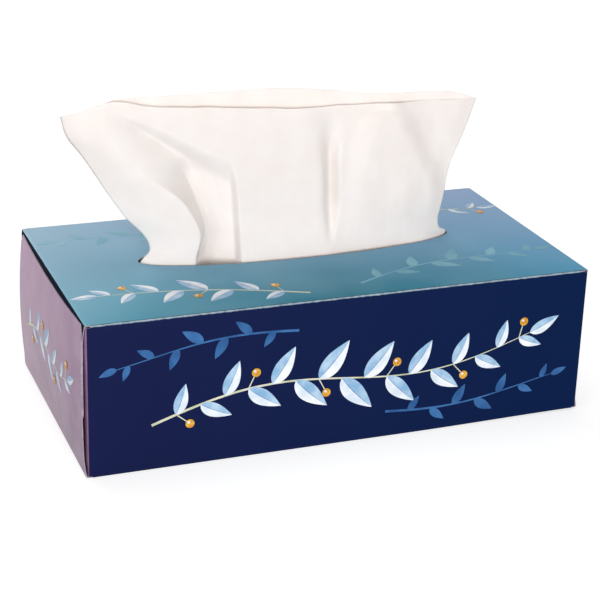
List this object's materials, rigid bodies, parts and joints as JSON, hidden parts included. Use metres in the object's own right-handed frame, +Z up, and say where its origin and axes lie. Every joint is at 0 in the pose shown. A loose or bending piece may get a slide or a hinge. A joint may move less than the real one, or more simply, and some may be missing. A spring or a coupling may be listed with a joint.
{
  "type": "tissue box",
  "caption": "Flat folded-board carton with an oval slot in its top, a block of interfolded tissues inside and a pleated two-ply tissue fanned up out of the slot.",
  "frame": {"origin": "centre of the carton's underside, on the table", "axes": "+X along the carton's length to the right of the front panel, -Y out of the front panel, +Z up"},
  "size_m": [0.226, 0.118, 0.1402],
  "materials": {
    "printed_board": "gloss varnish over offset print",
    "tissue_paper": "soft creped tissue"
  },
  "bodies": {
    "root": {"carton": "printed_board", "tissue_stack": "tissue_paper", "pulled_tissue": "tissue_paper"}
  },
  "joints": []
}
